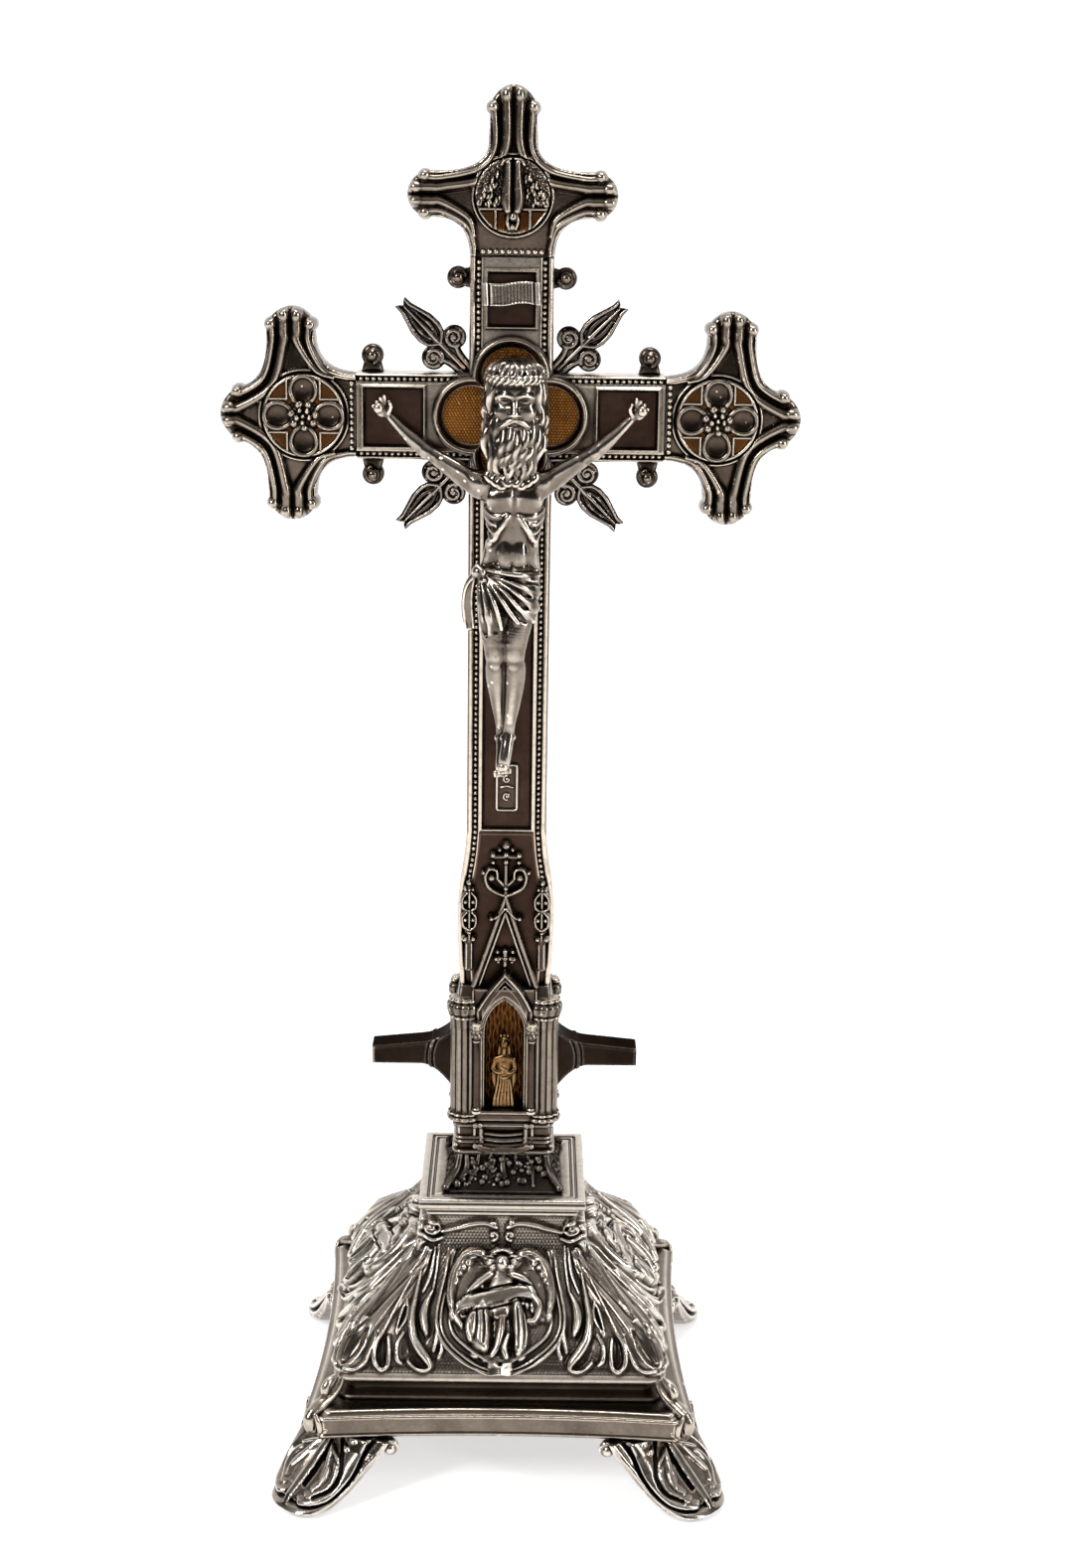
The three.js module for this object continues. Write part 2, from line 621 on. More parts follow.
function coverRelief() {
  const right = unite(...LEAF_LOBES.map(leafLobe), neckScroll());
  const face = unite(right, mirroredX(right));
  return unite(...[0, 1, 2, 3].map((quarters) => turned(face, (quarters * Math.PI) / 2)));
}

function baseCover() {
  const outside = unite(loft(coverRings()), coverRelief());
  const flangeHole = COVER_SECTIONS[0].half - COVER_FLANGE;
  const opening = box(
    -flangeHole, flangeHole, -flangeHole, flangeHole, COVER_BOTTOM - OVERSHOOT, FLANGE_TOP + OVERSHOOT,
  );
  const shell = outside.subtract(coverInside()).subtract(opening);
  return studHoles(shell.subtract(rodHole(COVER_TOP - SHEET, COVER_TOP)), COVER_BOTTOM, FLANGE_TOP);
}
place("base_cover", baseCover(), FINISH.silver);

// Cartouches: one shield made for the front face and turned to the others
const SHIELD_LOW = LIP_RISE - CARTOUCHE.belowLip;
const SHIELD_HIGH = NECK_RISE - CARTOUCHE.belowNeck;
const SHIELD_MIDDLE = THREE.MathUtils.lerp(SHIELD_LOW, SHIELD_HIGH, CARTOUCHE.wideShare);

function shieldOutline() {
  const wide = CARTOUCHE.halfWide;
  const shape = new THREE.Shape();
  shape.moveTo(0, SHIELD_LOW);
  shape.quadraticCurveTo(wide * 0.45, SHIELD_LOW + 4, wide * 0.8, THREE.MathUtils.lerp(SHIELD_LOW, SHIELD_MIDDLE, 0.6));
  shape.quadraticCurveTo(wide * 1.12, SHIELD_MIDDLE, CARTOUCHE.halfTop, THREE.MathUtils.lerp(SHIELD_MIDDLE, SHIELD_HIGH, 0.6));
  shape.lineTo(CARTOUCHE.halfTop, SHIELD_HIGH);
  return shape.getPoints(CURVE_STEPS);
}

function shieldRing(scale, rise) {
  const half = shieldOutline();
  const outline = [...half, ...half.slice(1).reverse().map((p) => new THREE.Vector2(-p.x, p.y))];
  return outline.map((point) => {
    const x = point.x * scale;
    const level = SHIELD_MIDDLE + (point.y - SHIELD_MIDDLE) * scale;
    return new THREE.Vector3(x, -(coverHalfAt(level) + rise), COVER_BOTTOM + level);
  });
}

function reliefFigure() {
  const z = COVER_BOTTOM + SHIELD_MIDDLE;
  const y = (level) => -(coverHalfAt(SHIELD_MIDDLE + level) + CARTOUCHE_STEPS[CARTOUCHE_STEPS.length - 1].rise);
  const { headRadius, bodyHalf, wingHalf, wingReach, depth } = RELIEF_FIGURE;
  const head = ball(0, y(13), z + 13, headRadius, headRadius, headRadius, LIMB_SIDES);
  const trunk = tiltedBall(0, y(3), z + 3, bodyHalf, depth, 8.5, -0.5);
  const skirt = tiltedBall(0, y(-6), z - 6, bodyHalf * 1.5, depth, 6.5, 0);
  const wings = [-1, 1].map((side) =>
    tiltedBall(side * wingReach, y(6), z + 5, wingHalf, depth * 0.7, 11, side * -0.25));
  return unite(head, trunk, skirt, ...wings);
}

function cartoucheFront() {
  const back = shieldRing(1, -CARTOUCHE.sink);
  const rings = [back, ...CARTOUCHE_STEPS.map(({ scale, rise }) => shieldRing(scale, rise))];
  const claspFace = coverHalfAt(SHIELD_LOW + CLASP.height / 2);
  const clasp = box(
    -CLASP.half, CLASP.half, -claspFace - CLASP.rise, -claspFace + CARTOUCHE.sink,
    COVER_BOTTOM + SHIELD_LOW - CLASP.height * 0.1, COVER_BOTTOM + SHIELD_LOW + CLASP.height * 0.9,
  );
  const behind = loft(COVER_SECTIONS.slice(coverSection("step")).map(({ half, rise }) =>
    rectangleRing(half + GAP, half + GAP, COVER_BOTTOM + rise)));
  return unite(loft(rings), clasp, reliefFigure()).subtract(behind);
}

const CARTOUCHE_TURNS = { front: 0, right: 1, rear: 2, left: 3 };
const frontCartouche = cartoucheFront();
for (const [side, quarters] of Object.entries(CARTOUCHE_TURNS)) {
  place(`cartouche_${side}`, turned(frontCartouche, (quarters * Math.PI) / 2), FINISH.silver);
}

// Upper plinth
function rectangleRing(halfX, halfY, z) {
  return [[-1, -1], [1, -1], [1, 1], [-1, 1]].map(([x, y]) => new THREE.Vector3(x * halfX, y * halfY, z));
}

function upperPlinth() {
  const rings = PLINTH_SECTIONS.map(({ half, rise }) => rectangleRing(half, half, PLINTH_BOTTOM + rise));
  return loft(rings).subtract(rodHole(PLINTH_BOTTOM, PLINTH_FLOOR));
}
place("upper_plinth", upperPlinth(), FINISH.silver);

// Column plan: flat faces joined by ribbed corners, shared by socle top, pedestal, housing and collar
function columnOutline(grow) {
  const points = [];
  const steps = COLUMN.ribs * COLUMN.stepsPerRib;
  for (const [quarter, sx, sy] of [[0, 1, 1], [1, -1, 1], [2, -1, -1], [3, 1, -1]]) {
    for (let i = 0; i <= steps; i++) {
      const angle = (quarter + i / steps) * (Math.PI / 2);
      const rib = COLUMN.rib * (Math.abs(Math.sin((i / steps) * COLUMN.ribs * Math.PI)) - 1);
      const edge = i === 0 || i === steps ? 0 : rib;
      const radius = COLUMN.corner + grow + edge;
      const centreX = sx * (COLUMN.half - COLUMN.corner);
      const centreY = sy * (COLUMN.halfDepth - COLUMN.corner);
      points.push(new THREE.Vector2(centreX + radius * Math.cos(angle), centreY + radius * Math.sin(angle)));
    }
  }
  return points;
}

function columnRing(grow, z) {
  return columnOutline(grow).map((point) => new THREE.Vector3(point.x, point.y, z));
}

// Socle: hollowed pyramid carved with leaves
function socleRing(share) {
  const spread = (1 - share) * (1 - share);
  const halfX = THREE.MathUtils.lerp(COLUMN.half - SOCLE.topInset, SOCLE.bottomHalf, spread);
  const halfY = THREE.MathUtils.lerp(COLUMN.halfDepth, SOCLE.bottomHalf, spread);
  const ring = [];
  const steps = SOCLE.ribs * 2;
  for (let side = 0; side < 4; side++) {
    const turn = (side * Math.PI) / 2;
    const outHalf = side % 2 === 0 ? halfX : halfY;
    const sideHalf = side % 2 === 0 ? halfY : halfX;
    for (let i = 0; i < steps; i++) {
      const t = (2 * i) / steps - 1;
      const carved = SOCLE.rib * Math.sin(share * Math.PI) * Math.abs(Math.sin((t * SOCLE.ribs * Math.PI) / 2));
      ring.push(turnedPoint(outHalf - (i === 0 ? 0 : carved), t * sideHalf, turn, SOCLE_BOTTOM + share * SOCLE.height));
    }
  }
  return ring;
}

function socle() {
  const rings = Array.from({ length: SOCLE.steps + 1 }, (_, i) => socleRing(i / SOCLE.steps));
  return loft(rings).subtract(rodHole(SOCLE_BOTTOM, PEDESTAL_BOTTOM));
}
place("acanthus_socle", socle(), FINISH.darkSilver);

// Pedestal with a recessed front panel
function columnPedestal() {
  const low = PEDESTAL_BOTTOM;
  const high = low + PEDESTAL.height;
  const levels = [
    [PEDESTAL.bandOut, low], [PEDESTAL.bandOut, low + PEDESTAL.band * 0.6], [0, low + PEDESTAL.band],
    [0, high - PEDESTAL.band], [PEDESTAL.bandOut, high - PEDESTAL.band * 0.6], [PEDESTAL.bandOut, high],
  ];
  const body = loft(levels.map(([grow, z]) => columnRing(grow, z)));
  const recess = box(
    -PEDESTAL_RECESS.half, PEDESTAL_RECESS.half, COLUMN_FRONT - OVERSHOOT, COLUMN_FRONT + PEDESTAL_RECESS.depth,
    low + PEDESTAL.band, high - PEDESTAL.band,
  );
  return body.subtract(recess).subtract(rodHole(low, high));
}
place("column_pedestal", columnPedestal(), FINISH.silver);

// Niche housing
const NICHE_SILL = COLUMN_BOTTOM + NICHE.sill;
const NICHE_SPRING = NICHE_SILL + NICHE.straight;

function pointedArch(half, low, spring, rise) {
  const shape = new THREE.Shape();
  shape.moveTo(-half, low);
  shape.lineTo(-half, spring);
  shape.quadraticCurveTo(-half * 0.92, spring + rise * 0.6, 0, spring + rise);
  shape.quadraticCurveTo(half * 0.92, spring + rise * 0.6, half, spring);
  shape.lineTo(half, low);
  return shape;
}

function nicheHousing() {
  const bandTop = COLUMN_BOTTOM + COLUMN_BASE.height;
  const levels = [
    [COLUMN_BASE.out, COLUMN_BOTTOM], [COLUMN_BASE.out, COLUMN_BOTTOM + COLUMN_BASE.height * 0.6],
    [0, bandTop], [0, COLUMN_TOP],
  ];
  const body = loft(levels.map(([grow, z]) => columnRing(grow, z)));
  const opening = plate(
    pointedArch(NICHE.half, NICHE_SILL, NICHE_SPRING, NICHE.arch),
    COLUMN_FRONT - COLUMN_BASE.out - OVERSHOOT, COLUMN_FRONT + NICHE.depth,
  );
  return body.subtract(opening).subtract(rodHole(COLUMN_BOTTOM, COLUMN_TOP));
}
place("niche_housing", nicheHousing(), FINISH.silver);

function nichePlate() {
  const back = COLUMN_FRONT + NICHE.depth - GAP;
  const shape = pointedArch(NICHE.half - GAP, NICHE_SILL + GAP, NICHE_SPRING, NICHE.arch - 2 * GAP);
  return plate(shape, back - NICHE_PLATE.thickness, back);
}
place("niche_plate", nichePlate(), FINISH.gilt);

// Robed figure standing in the niche
function nicheFigure() {
  const y = COLUMN_FRONT + NICHE.depth / 2 - GAP;
  const foot = NICHE_SILL + GAP;
  const { hem, waist, shoulder, depth, height, headRadius } = NICHE_FIGURE;
  const neck = height - 2 * headRadius;
  const levels = [
    [hem, 0], [hem, 0.04], [hem * 0.86, 0.25], [waist * 1.1, 0.5], [waist, 0.66],
    [shoulder * 0.95, 0.84], [shoulder * 0.7, 0.94], [headRadius * 0.6, 1],
  ];
  const up = new THREE.Vector3(0, 1, 0);
  const rings = levels.map(([half, share]) =>
    circleAround(new THREE.Vector3(0, y, foot + share * neck), new THREE.Vector3(half, 0, 0), up, 1, LIMB_SIDES)
      .map((point) => point.setY(y + (point.y - y) * half * depth)));
  const head = ball(0, y, foot + height - headRadius * 1.3, headRadius, headRadius, headRadius * 1.3, LIMB_SIDES);
  return loft(rings).add(head);
}
place("niche_figure", nicheFigure(), FINISH.gilt);

// Colonnettes: slim turned shafts with base and capital beside the niche
function colonnette(side) {
  const { radius, beadRadius, wall } = COLONNETTE;
  const foot = COLUMN_BOTTOM + COLUMN_BASE.height + GAP;
  const height = COLLAR_BOTTOM - GAP - foot;
  const profile = [
    [0, 0], [beadRadius, 0], [beadRadius, 1.4], [radius, 2.6], [radius, height - 6.4], [radius * 1.3, height - 5.8],
    [radius, height - 5], [beadRadius, height - 1.2], [beadRadius, height], [0, height],
  ];
  const geometry = new THREE.LatheGeometry(profile.map(([r, h]) => new THREE.Vector2(r, h)), LIMB_SIDES);
  geometry.rotateX(Math.PI / 2);
  const x = side * (NICHE.half + wall + beadRadius);
  const y = COLUMN_FRONT - GAP - beadRadius;
  return toSolid(geometry.translate(x, y, foot));
}
place("colonnette_left", colonnette(-1), FINISH.silver);
place("colonnette_right", colonnette(1), FINISH.silver);

// Collar round the top of the housing, open at the front for the arch
function shaftCollar() {
  const levels = [
    [COLLAR.out * 0.5, 0], [COLLAR.out, 0.2], [COLLAR.out, 0.42], [COLLAR.out * 0.6, 0.52],
    [COLLAR.out, 0.62], [COLLAR.out, 0.84], [COLLAR.out * 0.5, 1],
  ];
  const outside = loft(levels.map(([grow, share]) => columnRing(GAP + grow, COLLAR_BOTTOM + share * COLLAR.height)));
  const inside = loft([
    columnRing(GAP, COLLAR_BOTTOM - OVERSHOOT), columnRing(GAP, COLLAR_TOP + OVERSHOOT),
  ]);
  const frontHalf = GABLE.half - GABLE.band + GAP;
  const gate = box(
    -frontHalf, frontHalf, COLUMN_FRONT - 4 * OVERSHOOT, 0, COLLAR_BOTTOM - OVERSHOOT, COLLAR_TOP + OVERSHOOT,
  );
  return outside.subtract(inside).subtract(gate);
}
place("shaft_collar", shaftCollar(), FINISH.silver);

// Gable: two raking bands over a pointed arch, with a leafy finial
const GABLE_FOOT = COLLAR_TOP + GAP;
const GABLE_APEX = GABLE_FOOT + GABLE.height;
const ARCH_FOOT = GABLE_FOOT - GABLE_ARCH.footDrop;
const ARCH_APEX = GABLE_FOOT + GABLE_ARCH.rise;
const ARCH_OUTER = GABLE.half - GABLE.band;
const ARCH_INNER = ARCH_OUTER - GABLE_ARCH.band;

function gableShape() {
  const shape = new THREE.Shape();
  const innerApex = ARCH_APEX - GABLE_ARCH.band;
  const knee = THREE.MathUtils.lerp(ARCH_FOOT, ARCH_APEX, 0.6);
  shape.moveTo(-GABLE.half, GABLE_FOOT);
  shape.lineTo(-ARCH_OUTER, GABLE_FOOT);
  shape.lineTo(-ARCH_OUTER, ARCH_FOOT);
  shape.lineTo(-ARCH_INNER, ARCH_FOOT);
  shape.quadraticCurveTo(-ARCH_INNER * 0.92, knee - GABLE_ARCH.band, 0, innerApex);
  shape.quadraticCurveTo(ARCH_INNER * 0.92, knee - GABLE_ARCH.band, ARCH_INNER, ARCH_FOOT);
  shape.lineTo(ARCH_OUTER, ARCH_FOOT);
  shape.lineTo(ARCH_OUTER, GABLE_FOOT);
  shape.lineTo(GABLE.half, GABLE_FOOT);
  shape.lineTo(0, GABLE_APEX);
  shape.closePath();
  shape.holes.push(gableWindow());
  return shape;
}

function gableWindow() {
  const level = THREE.MathUtils.lerp(GABLE_FOOT, ARCH_APEX, 0.45);
  const bandAcross = GABLE.band * Math.hypot(1, GABLE.half / GABLE.height);
  const legInside = (z) => (GABLE.half * (GABLE_APEX - z)) / GABLE.height - bandAcross;
  const windowTop = GABLE_APEX - (bandAcross * GABLE.height) / GABLE.half;
  const archX = ARCH_OUTER * 0.66;
  const hole = new THREE.Path();
  hole.moveTo(legInside(level), level);
  hole.lineTo(0, windowTop);
  hole.lineTo(-legInside(level), level);
  hole.lineTo(-archX, level);
  hole.quadraticCurveTo(-archX * 0.6, ARCH_APEX - GABLE_ARCH.band * 0.4, 0, ARCH_APEX);
  hole.quadraticCurveTo(archX * 0.6, ARCH_APEX - GABLE_ARCH.band * 0.4, archX, level);
  hole.closePath();
  return hole;
}

function finial(y) {
  const { height, ball: top, stem, leafAt, leafReach, leafHalf } = FINIAL;
  const low = GABLE_APEX - GABLE.band;
  const topZ = GABLE_APEX + height - top;
  const leafZ = GABLE_APEX + leafAt * height;
  const leaves = [-1, 1].map((side) =>
    tiltedBall(side * leafReach * 0.5, y, leafZ, leafReach * 0.55, stem * 1.5, leafHalf, side * 0.5));
  return unite(
    uprightCylinder(0, y, low, topZ, stem * 1.5, LIMB_SIDES, stem * 0.8),
    ball(0, y, topZ, top, top, top, LIMB_SIDES),
    ball(0, y, leafZ + leafHalf * 1.6, leafHalf * 0.7, stem * 1.4, leafHalf * 0.5, LIMB_SIDES),
    ...leaves,
  );
}

function gable() {
  const front = COLUMN_FRONT - GAP - GABLE.thickness;
  const behind = COLUMN_FRONT - GAP;
  const backing = plate(gableShape(), behind - GAP, APPLIED_BACK).subtract(
    box(-COLUMN.half, COLUMN.half, front, 0, ARCH_FOOT - OVERSHOOT, SHAFT_FOOT),
  );
  return unite(plate(gableShape(), front, behind), backing, finial((front + APPLIED_BACK) / 2));
}
place("gable", gable(), FINISH.silver);

// Pinnacles: small posts with leafy cones on the flared foot of the shaft
function pinnacle(side) {
  const x = side * PINNACLE.x;
  const y = APPLIED_BACK - PINNACLE.thickness / 2;
  const bottom = SHAFT_FOOT + PINNACLE.bottom;
  const shoulder = bottom + PINNACLE.post;
  const steps = 4;
  const rings = [
    [PINNACLE.half * 0.6, bottom], [PINNACLE.half, bottom + 2], [PINNACLE.half, shoulder - 1],
    [PINNACLE.half * 1.3, shoulder],
  ];
  for (let i = 1; i <= steps; i++) {
    const taper = PINNACLE.half * (1.2 - i / steps);
    const step = shoulder + (i / steps) * PINNACLE.cone;
    rings.push([taper + PINNACLE.leaf * (1 - i / steps), step - PINNACLE.cone / steps * 0.4]);
    rings.push([Math.max(taper, 0.4), step]);
  }
  const half = PINNACLE.thickness / 2;
  return loft(rings.map(([reach, z]) => [[-1, -1], [1, -1], [1, 1], [-1, 1]].map(([sx, sy]) =>
    new THREE.Vector3(x + sx * reach, y + sy * Math.min(reach, half), z))));
}
place("pinnacle_left", pinnacle(-1), FINISH.silver);
place("pinnacle_right", pinnacle(1), FINISH.silver);

// Side brackets: flat tongues that flare where they meet the column
function bracket() {
  const root = COLUMN.half + GAP;
  const end = root + BRACKET.reach;
  const z = COLUMN_BOTTOM + BRACKET.at;
  const flareEnd = root + BRACKET.flare;
  const shape = new THREE.Shape();
  shape.moveTo(root, z - BRACKET.rootHalf);
  shape.quadraticCurveTo(root + 3, z - BRACKET.half - 1.5, flareEnd, z - BRACKET.half);
  shape.lineTo(end, z - BRACKET.half + 0.6);
  shape.lineTo(end, z + BRACKET.half - 0.6);
  shape.lineTo(flareEnd, z + BRACKET.half);
  shape.quadraticCurveTo(root + 3, z + BRACKET.half + 1.5, root, z + BRACKET.rootHalf);
  shape.closePath();
  return plate(shape, -BRACKET.halfDepth, BRACKET.halfDepth, BRACKET.bevel);
}
const rightBracket = bracket();
place("bracket_right", rightBracket, FINISH.darkSilver);
place("bracket_left", mirroredX(rightBracket), FINISH.darkSilver);

// Cross body: outline of shaft and arms, drawn in or out by a margin
function crossShape(margin, open) {
  const half = SHAFT.half + margin;
  const armHalf = ARM.half + margin;
  const armEnd = ARM.reach + (open ? OVERSHOOT : margin);
  const top = SHAFT_TOP + (open ? OVERSHOOT : margin);
  const foot = SHAFT_FOOT - (open ? OVERSHOOT : margin);
  const wideZ = SHAFT_FOOT + SHAFT_FLARE.wideAt;
  const endZ = SHAFT_FOOT + SHAFT_FLARE.endAt;
  const wide = SHAFT_FLARE.wideHalf + margin;
  const right = [
    [SHAFT_FLARE.footHalf + margin, foot], [wide, wideZ], [THREE.MathUtils.lerp(half, wide, 0.75), wideZ + 12],
    [half, endZ], [half, CROSSING - armHalf], [armEnd, CROSSING - armHalf],
    [armEnd, CROSSING + armHalf], [half, CROSSING + armHalf], [half, top],
  ];
  const left = right.map(([x, z]) => [-x, z]).reverse();
  return new THREE.Shape([...right, ...left].map(([x, z]) => new THREE.Vector2(x, z)));
}

function knobs() {
  const armZ = ARM.half + KNOB.armOffset;
  const armX = ARM.reach - KNOB.fromEnd;
  const shaftX = SHAFT.half + KNOB.shaftOffset;
  const shaftZ = SHAFT_TOP - KNOB.belowTop;
  const pieces = [];
  for (const side of [-1, 1]) {
    for (const up of [-1, 1]) {
      const z = CROSSING + up * armZ;
      pieces.push(frontCylinder(side * armX, -KNOB.depth, KNOB.depth, z, KNOB.radius));
      const low = Math.min(z, CROSSING + up * (ARM.half - OVERSHOOT));
      const high = Math.max(z, CROSSING + up * (ARM.half - OVERSHOOT));
      const x = side * armX;
      pieces.push(box(x - KNOB.stemHalf, x + KNOB.stemHalf, -KNOB.depth, KNOB.depth, low, high));
    }
    pieces.push(frontCylinder(side * shaftX, -KNOB.depth, KNOB.depth, shaftZ, KNOB.radius));
    const near = side * (SHAFT.half - OVERSHOOT);
    const far = side * shaftX;
    pieces.push(box(
      Math.min(near, far), Math.max(near, far), -KNOB.depth, KNOB.depth,
      shaftZ - KNOB.stemHalf, shaftZ + KNOB.stemHalf,
    ));
  }
  return unite(...pieces);
}

function nailHole(nail, side) {
  return frontCylinder(
    side * nail.x, nail.front - OVERSHOOT, 0, CROSSING + nail.z, NAIL.shank + NAIL.clearance, LIMB_SIDES,
  );
}

function crossShell() {
  const body = plate(crossShape(0, false), -SHAFT.depth, SHAFT.depth, SHAFT.bevel);
  const hollow = plate(crossShape(-SHEET, true), SHEET - SHAFT.depth, SHAFT.depth - SHEET);
  return body.add(knobs()).subtract(hollow);
}

function halfOf(solid, front) {
  const reach = SHAFT_TOP;
  const outer = SHAFT.depth + OVERSHOOT;
  const near = front ? -outer : GAP / 2;
  const far = front ? -GAP / 2 : outer;
  return solid.intersect(box(-reach, reach, near, far, 0, SHAFT_TOP + reach));
}

const shell = crossShell();
const frontShell = [nailHole(HAND_NAIL, -1), nailHole(HAND_NAIL, 1), nailHole(FOOT_NAIL, 1)]
  .reduce((rest, hole) => rest.subtract(hole), halfOf(shell, true));
place("cross_front_shell", frontShell, FINISH.silver);
place("cross_rear_shell", halfOf(shell, false), FINISH.silver);

// Terminals: lobed castings with a tenon into the hollow shell
function terminalHalf(t) {
  const path = new THREE.Path();
  const near = t.lobeAt - t.lobeHalf;
  const far = t.lobeAt + t.lobeHalf;
  const curl = t.lobeReach - t.curlDrop;
  const side = t.lobeReach * 0.66;
  path.moveTo(0, t.joint);
  path.quadraticCurveTo(near * 0.9, t.joint + 0.6, near, side);
  path.lineTo(near, curl);
  path.quadraticCurveTo(t.lobeAt - t.lobeTip, t.lobeReach, t.lobeAt, t.lobeReach);
  path.quadraticCurveTo(t.lobeAt + t.lobeTip, t.lobeReach, far, curl);
  path.lineTo(far, side);
  path.quadraticCurveTo(far + 0.6, t.endHalf + 2.4, t.coveEnd, t.endHalf);
  path.lineTo(t.curlAt, t.endHalf);
  path.quadraticCurveTo(t.length, t.endTip, t.length, 0);
  return path.getPoints(CURVE_STEPS);
}

function terminalShape(t) {
  const half = terminalHalf(t);
  const mirrored = half.slice(0, -1).reverse().map((p) => new THREE.Vector2(p.x, -p.y));
  return new THREE.Shape([...half, ...mirrored]);
}

function terminalBeads(t) {
  const inset = TERMINAL.beadRadius - TERMINAL.beadOut;
  const curl = t.lobeReach - t.curlDrop;
  const spots = [];
  for (const side of [-1, 1]) {
    spots.push([t.lobeAt - t.lobeHalf + inset, side * curl]);
    spots.push([t.lobeAt + t.lobeHalf - inset, side * curl]);
    spots.push([t.curlAt, side * (t.endHalf - inset)]);
  }
  return spots.map(([along, lateral]) =>
    frontCylinder(along, -TERMINAL.depth, TERMINAL.depth, lateral, TERMINAL.beadRadius, LIMB_SIDES));
}

function terminal(t, seatAt, seatRadius) {
  const half = TERMINAL.depth;
  const body = plate(terminalShape(t), -half, half, TERMINAL.bevel);
  const tenonHalf = t.joint - SHEET - 2 * GAP;
  const tenonDepth = SHAFT.depth - SHEET - GAP;
  const tenon = box(-TERMINAL.tenon, OVERSHOOT, -tenonDepth, tenonDepth, -tenonHalf, tenonHalf);
  const seat = frontCylinder(seatAt, -half - OVERSHOOT, TERMINAL.seat - half, 0, seatRadius + GAP, 2 * ROUND_SIDES);
  return unite(body, tenon, ...terminalBeads(t)).subtract(seat);
}

// A piece drawn outward along +X is carried to the end of an arm or, turned up, to the top of the shaft
function toArm(solid, side) {
  const right = moved(solid, ARM.reach + GAP, 0, CROSSING);
  return side > 0 ? right : mirroredX(right);
}

function toTop(solid) {
  const geometry = toGeometry(solid).rotateY(-Math.PI / 2);
  return toSolid(geometry.translate(0, 0, SHAFT_TOP + GAP));
}

const sideTerminal = terminal(SIDE_TERMINAL, MEDALLION.at, MEDALLION.radius);
place("terminal_left", toArm(sideTerminal, -1), FINISH.silver);
place("terminal_right", toArm(sideTerminal, 1), FINISH.silver);
place("terminal_top", toTop(terminal(TOP_TERMINAL, DOVE.at, DOVE.radius)), FINISH.silver);

// Medallions: four hollowed petals round a boss
const SEAT_FLOOR = TERMINAL.seat - TERMINAL.depth;

function medallion() {
  const back = SEAT_FLOOR - GAP;
  const front = back - MEDALLION.thickness;
  const disc = frontCylinder(MEDALLION.at, front, back, 0, MEDALLION.radius, 2 * ROUND_SIDES);
  const petals = [0, 1, 2, 3].map((quarter) => {
    const angle = (quarter * Math.PI) / 2;
    const x = MEDALLION.at + MEDALLION.petalAt * Math.cos(angle);
    const z = MEDALLION.petalAt * Math.sin(angle);
    return ball(x, front, z, MEDALLION.petalRadius, MEDALLION.dish, MEDALLION.petalRadius, LIMB_SIDES);
  });
  const boss = ball(MEDALLION.at, front, 0, MEDALLION.boss, MEDALLION.boss * 0.6, MEDALLION.boss, LIMB_SIDES);
  const dished = petals.reduce((rest, petal) => rest.subtract(petal), disc).add(boss);
  return trimmedBehind(dished, back, SIDE_TERMINAL.length);
}
const sideMedallion = medallion();
place("quatrefoil_left", toArm(sideMedallion, -1), FINISH.silver);
place("quatrefoil_right", toArm(sideMedallion, 1), FINISH.silver);

// Dove medallion of the top terminal: body head down, wings spread upward
function doveMedallion() {
  const back = SEAT_FLOOR - GAP;
  const front = back - DOVE.thickness * 0.5;
  const deep = DOVE.thickness;
  const disc = frontCylinder(DOVE.at, front, back, 0, DOVE.radius, 2 * ROUND_SIDES);
  const body = tiltedBall(DOVE.at - 1, front, 0, DOVE.body, deep, 2.8, 0);
  const wings = [-1, 1].map((side) =>
    tiltedBall(DOVE.at + 3, front, side * DOVE.wing * 0.72, 3.6, deep * 0.8, DOVE.wing * 0.8, side * 0.35));
  const ledge = box(
    DOVE.at - DOVE.radius * 0.7 - DOVE.ledge, DOVE.at - DOVE.radius * 0.7, front - deep * 0.5, back,
    -DOVE.radius * 0.68, DOVE.radius * 0.68,
  );
  return trimmedBehind(unite(disc, body, ...wings, ledge), back, TOP_TERMINAL.length);
}
place("dove_medallion", toTop(doveMedallion()), FINISH.silver);

// Leaf sprays in the angles of the cross, drawn along +X and turned to the diagonals
function leafShape() {
  const { reach, leafFrom, leafHalf } = SPRAY;
  const middle = (reach + leafFrom) / 2;
  const notch = SPRAY_BODY.notch;
  const shape = new THREE.Shape();
  shape.moveTo(leafFrom, 0);
  shape.quadraticCurveTo(leafFrom + 1, leafHalf, middle, leafHalf);
  shape.quadraticCurveTo(reach - 2 * notch, leafHalf * 0.7, reach - 1.6 * notch, leafHalf * 0.36);
  shape.lineTo(reach, leafHalf * 0.6);
  shape.lineTo(reach - notch, 0);
  shape.lineTo(reach, -leafHalf * 0.6);
  shape.lineTo(reach - 1.6 * notch, -leafHalf * 0.36);
  shape.quadraticCurveTo(reach - 2 * notch, -leafHalf * 0.7, middle, -leafHalf);
  shape.quadraticCurveTo(leafFrom + 1, -leafHalf, leafFrom, 0);
  return shape;
}

